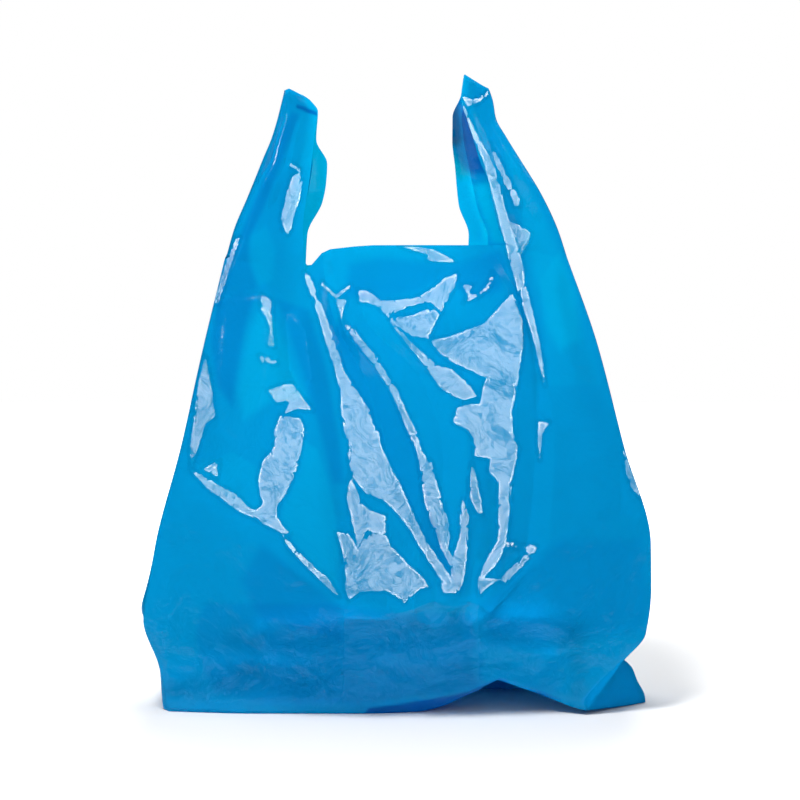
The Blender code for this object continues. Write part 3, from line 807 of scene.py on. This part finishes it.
def filmTexture():
    group = bpy.data.node_groups.new("filmTexture", "ShaderNodeTree")
    for name, value in (("Scale", film["crumpleScale"]), ("Height", film["crumpleHeight"]),
                        ("Fine Scale", film["fineScale"]), ("Fine Height", film["fineHeight"]),
                        ("Tilt Scale", film["tiltScale"]), ("Tilt", film["tilt"][0])):
        socket = group.interface.new_socket(name, in_out="INPUT", socket_type="NodeSocketFloat")
        socket.default_value = value
    group.interface.new_socket("Normal", in_out="INPUT", socket_type="NodeSocketVector").hide_value = True
    group.interface.new_socket("Colour", in_out="OUTPUT", socket_type="NodeSocketColor")
    group.interface.new_socket("Normal", in_out="OUTPUT", socket_type="NodeSocketVector")
    nodes, links = group.nodes, group.links
    start = nodes.new("NodeGroupInput").outputs
    end = nodes.new("NodeGroupOutput").inputs
    place = nodes.new("ShaderNodeTexCoord").outputs["Object"]
    bend = noiseOf(nodes, links, place, film["bendScale"], 3)
    warp = mixed(nodes, links, "VECTOR", film["bend"], place, bend.outputs["Color"]).outputs["Result"]
    cells = nodes.new("ShaderNodeTexVoronoi")
    cells.feature = "SMOOTH_F1"
    cells.inputs["Smoothness"].default_value = film["smoothness"]
    links.new(warp, cells.inputs["Vector"])
    links.new(start["Scale"], cells.inputs["Scale"])
    fine = noiseOf(nodes, links, warp, film["fineScale"], 2)
    fine.inputs["Distortion"].default_value = film["distortion"]
    links.new(start["Fine Scale"], fine.inputs["Scale"])
    broad = bumped(nodes, links, cells.outputs["Distance"], start["Height"], start["Normal"])
    small = bumped(nodes, links, fine.outputs["Fac"], start["Fine Height"], broad)
    planes = nodes.new("ShaderNodeTexVoronoi")
    planes.inputs["Detail"].default_value = 1
    planes.inputs["Roughness"].default_value = film["tiltRoughness"]
    links.new(warp, planes.inputs["Vector"])
    links.new(start["Tilt Scale"], planes.inputs["Scale"])
    centred = vectorOf(nodes, links, "SUBTRACT", first=planes.outputs["Color"], second=(0.5, 0.5, 0.5))
    lean = vectorOf(nodes, links, "SCALE", first=centred, scale=start["Tilt"])
    leant = vectorOf(nodes, links, "ADD", first=small, second=lean)
    links.new(vectorOf(nodes, links, "NORMALIZE", first=leant), end["Normal"])
    shade = mixed(nodes, links, "RGBA", bend.outputs["Fac"], film["deep"], film["pale"])
    links.new(shade.outputs["Result"], end["Colour"])
    return group


# Leans a normal towards the way that the facets or shades face, on the outer side only
def faceAs(nodes, links, name, normal, reach, wobble=None):
    stored = []
    for part in ("Depth", "Facing"):
        stored.append(nodes.new("ShaderNodeAttribute"))
        stored[-1].attribute_name = name + part
    turned = nodes.new("ShaderNodeVectorTransform")
    turned.vector_type = "NORMAL"
    turned.convert_from = "OBJECT"
    turned.convert_to = "WORLD"
    links.new(stored[1].outputs["Vector"], turned.inputs["Vector"])
    depth = stored[0].outputs["Fac"]
    if wobble is not None:
        depth = calculate(nodes, links, "ADD", depth, wobble)
    inner = nodes.new("ShaderNodeNewGeometry").outputs["Backfacing"]
    outside = calculate(nodes, links, "SUBTRACT", 1, inner)
    share = calculate(nodes, links, "MULTIPLY", outside, ramp(nodes, links, depth, -reach, reach))
    both = mixed(nodes, links, "VECTOR", share, normal, turned.outputs["Vector"])
    return vectorOf(nodes, links, "NORMALIZE", first=both.outputs["Result"]), share, depth


# The facets' edges wander, and cracks run in from them
def wander(nodes, links, place):
    noise = noiseOf(nodes, links, place, film["wobbleScale"], 4).outputs["Fac"]
    cells = nodes.new("ShaderNodeTexVoronoi")
    cells.feature = "DISTANCE_TO_EDGE"
    cells.inputs["Scale"].default_value = film["crackScale"]
    stretch = vectorOf(nodes, links, "MULTIPLY", first=place, second=film["crackStretch"])
    links.new(stretch, cells.inputs["Vector"])
    crack = ramp(nodes, links, cells.outputs["Distance"], 0, film["crackWidth"], -film["crackDepth"], 0)
    size, low, high = film["crackPatch"]
    patch = ramp(nodes, links, noiseOf(nodes, links, place, size, 1).outputs["Fac"], low, high)
    crack = calculate(nodes, links, "MULTIPLY", crack, patch)
    crack = calculate(nodes, links, "SUBTRACT", crack, film["wobble"] / 2)
    return calculate(nodes, links, "MULTIPLY_ADD", noise, film["wobble"], crack)


# Levels for plain film, a facet and its rim
def levels(nodes, links, share, rim, triple):
    inside = ramp(nodes, links, share, 0, 1, triple[0], triple[1])
    lower = calculate(nodes, links, "SUBTRACT", triple[2], inside)
    return calculate(nodes, links, "MULTIPLY_ADD", lower, rim, inside)


# A line along the facets' edges, at a set depth and width
def alongEdge(nodes, links, depth, name):
    place, full, end = film[name]
    off = calculate(nodes, links, "ABSOLUTE", calculate(nodes, links, "ADD", depth, place))
    return ramp(nodes, links, off, full, end, 1, 0)


def filmMaterial():
    material = bpy.data.materials.new("film")
    material.use_nodes = True
    nodes, links = material.node_tree.nodes, material.node_tree.links
    gloss = nodes["Principled BSDF"]
    place = nodes.new("ShaderNodeTexCoord").outputs["Object"]
    own = nodes.new("ShaderNodeNewGeometry").outputs["Normal"]
    shaded, _, _ = faceAs(nodes, links, "shade", own, 1.0)
    wobble = wander(nodes, links, place)
    normal, share, depth = faceAs(nodes, links, "facet", shaded, film["facetEdge"], wobble)
    size, low, high = film["rimPatch"]
    patch = ramp(nodes, links, noiseOf(nodes, links, place, size, 1).outputs["Fac"], low, high)
    rim = calculate(nodes, links, "MULTIPLY", alongEdge(nodes, links, depth, "rimPlace"), patch)
    # painted shade along the shaded side of the facets' folds
    foot = alongEdge(nodes, links, depth, "foldShadePlace")
    texture = nodes.new("ShaderNodeGroup")
    texture.node_tree = filmTexture()
    links.new(normal, texture.inputs["Normal"])
    links.new(levels(nodes, links, share, rim, film["tilt"]), texture.inputs["Tilt"])
    paintedTone = nodes.new("ShaderNodeAttribute")
    paintedTone.attribute_name = "paintedTone"
    # painted shade in the facets
    colour = tinted(nodes, links, texture.outputs["Colour"], share, film["facetPaintedShade"])
    colour = tinted(nodes, links, colour, foot, film["foot"])
    # painted light and shade: the film's colour is multiplied by the stored tone
    colour = tinted(nodes, links, colour, 1.0, paintedTone.outputs["Color"])
    links.new(levels(nodes, links, share, rim, film["roughness"]), gloss.inputs["Roughness"])
    gloss.inputs["Specular IOR Level"].default_value = film["specular"]
    links.new(colour, gloss.inputs["Base Color"])
    links.new(texture.outputs["Normal"], gloss.inputs["Normal"])
    passing = nodes.new("ShaderNodeBsdfTranslucent")
    # the light let through carries the same painted light and shade
    through = tinted(nodes, links, film["through"], 1.0, paintedTone.outputs["Color"])
    links.new(through, passing.inputs["Color"])
    links.new(texture.outputs["Normal"], passing.inputs["Normal"])
    both = nodes.new("ShaderNodeMixShader")
    both.inputs["Fac"].default_value = film["throughShare"]
    links.new(gloss.outputs["BSDF"], both.inputs[1])
    links.new(passing.outputs["BSDF"], both.inputs[2])
    links.new(both.outputs["Shader"], nodes["Material Output"].inputs["Surface"])
    return material


piece = makeBag()
piece.data.materials.append(filmMaterial())
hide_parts("carrier_bag")
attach(piece, "root")


# Studio: white floor and backdrop, and soft lamps ahead on the left, on the right and behind
studio = {
    "floorColour": (0.8, 0.8, 0.8, 1),
    "floorSize": 6.0,
    "floorGlow": (0.0, 1.0),  # beside the bag, and far from it
    "glowReach": (0.26, 0.75),  # m
    "backdropSize": 8.0,
    "backdropPlace": (0, 2.6, 1.5),
    "fill": 0.35,
    "dark": 0.03,  # what gloss sees of the world
    "lampAim": 0.25,  # m above the floor
    # azimuth, elevation, distance, size and power
    "lamps": {
        "softboxLeft": (-25, 55, 1.5, (0.36, 0.36), 26),
        "softboxRight": (62, 38, 1.6, (0.3, 0.9), 4),
        "softboxBehind": (172, 52, 1.4, (1.0, 1.0), 21),
    },
}


def seenRays(nodes, links):
    path = nodes.new("ShaderNodeLightPath").outputs
    seen = calculate(nodes, links, "MAXIMUM", path["Is Camera Ray"], path["Is Glossy Ray"])
    return calculate(nodes, links, "MAXIMUM", seen, path["Is Transmission Ray"])


def sheetOf(name, paint, size, place, lean):
    bpy.ops.mesh.primitive_plane_add(size=size, location=place, rotation=(math.radians(lean), 0, 0))
    sheet = bpy.context.object
    sheet.name = name
    material = bpy.data.materials.new(paint)
    material.use_nodes = True
    sheet.data.materials.append(material)
    nodes, links = material.node_tree.nodes, material.node_tree.links
    nodes.remove(nodes["Principled BSDF"])
    return sheet, nodes, links, nodes.new("ShaderNodeEmission"), nodes["Material Output"].inputs["Surface"]


def makeFloor():
    sheet, nodes, links, glow, surface = sheetOf("floor", "paleFloor", studio["floorSize"], (0, 0, 0), 0)
    matte = nodes.new("ShaderNodeBsdfDiffuse")
    matte.inputs["Color"].default_value = studio["floorColour"]
    away = nodes.new("ShaderNodeVectorMath")
    away.operation = "LENGTH"
    links.new(nodes.new("ShaderNodeTexCoord").outputs["Object"], away.inputs[0])
    rise = ramp(nodes, links, away.outputs["Value"], *studio["glowReach"], *studio["floorGlow"])
    strength = calculate(nodes, links, "MULTIPLY", seenRays(nodes, links), rise)
    links.new(strength, glow.inputs["Strength"])
    both = nodes.new("ShaderNodeAddShader")
    links.new(matte.outputs[0], both.inputs[0])
    links.new(glow.outputs[0], both.inputs[1])
    links.new(both.outputs[0], surface)
    return sheet


def makeBackdrop():
    size, place = studio["backdropSize"], studio["backdropPlace"]
    sheet, nodes, links, glow, surface = sheetOf("backdrop", "whiteBackdrop", size, place, 90)
    links.new(seenRays(nodes, links), glow.inputs["Strength"])
    links.new(glow.outputs[0], surface)
    return sheet


def makeLamp(name, azimuth, elevation, distance, size, power):
    a, e = math.radians(azimuth), math.radians(elevation)
    place = (distance * math.sin(a) * math.cos(e), -distance * math.cos(a) * math.cos(e),
             studio["lampAim"] + distance * math.sin(e))
    bpy.ops.object.light_add(type="AREA", location=place)
    lamp = bpy.context.object
    lamp.name = name
    lamp.data.shape = "RECTANGLE"
    lamp.data.size, lamp.data.size_y = size
    lamp.data.energy = power
    lamp.rotation_euler = (math.radians(90 - elevation), 0, a)


def makeWorld():
    world = bpy.data.worlds.new("studio")
    bpy.context.scene.world = world
    world.use_nodes = True
    nodes, links = world.node_tree.nodes, world.node_tree.links
    path = nodes.new("ShaderNodeLightPath")
    level = nodes.new("ShaderNodeMapRange")
    level.inputs["To Min"].default_value = studio["fill"]
    level.inputs["To Max"].default_value = studio["dark"]
    links.new(path.outputs["Is Glossy Ray"], level.inputs["Value"])
    links.new(level.outputs["Result"], nodes["Background"].inputs["Strength"])
    nodes["Background"].inputs["Color"].default_value = (1, 1, 1, 1)


floor = makeFloor()
backdrop = makeBackdrop()
makeWorld()
for lampName, values in studio["lamps"].items():
    makeLamp(lampName, *values)
print("studio")


def makeCamera():
    camera = bpy.data.objects.new("camera", bpy.data.cameras.new("camera"))
    bpy.context.scene.collection.objects.link(camera)
    camera.data.lens = view["lens"]
    x, y, z = (value / 1000 for value in view["target"])
    distance = view["distance"] / 1000
    tilt = math.radians(view["elevation"])
    camera.location = (x, y - distance * math.cos(tilt), z + distance * math.sin(tilt))
    camera.rotation_euler = (math.radians(90) - tilt, 0, 0)
    bpy.context.scene.camera = camera


makeCamera()
bpy.context.scene.view_settings.view_transform = "Standard"
print("camera")
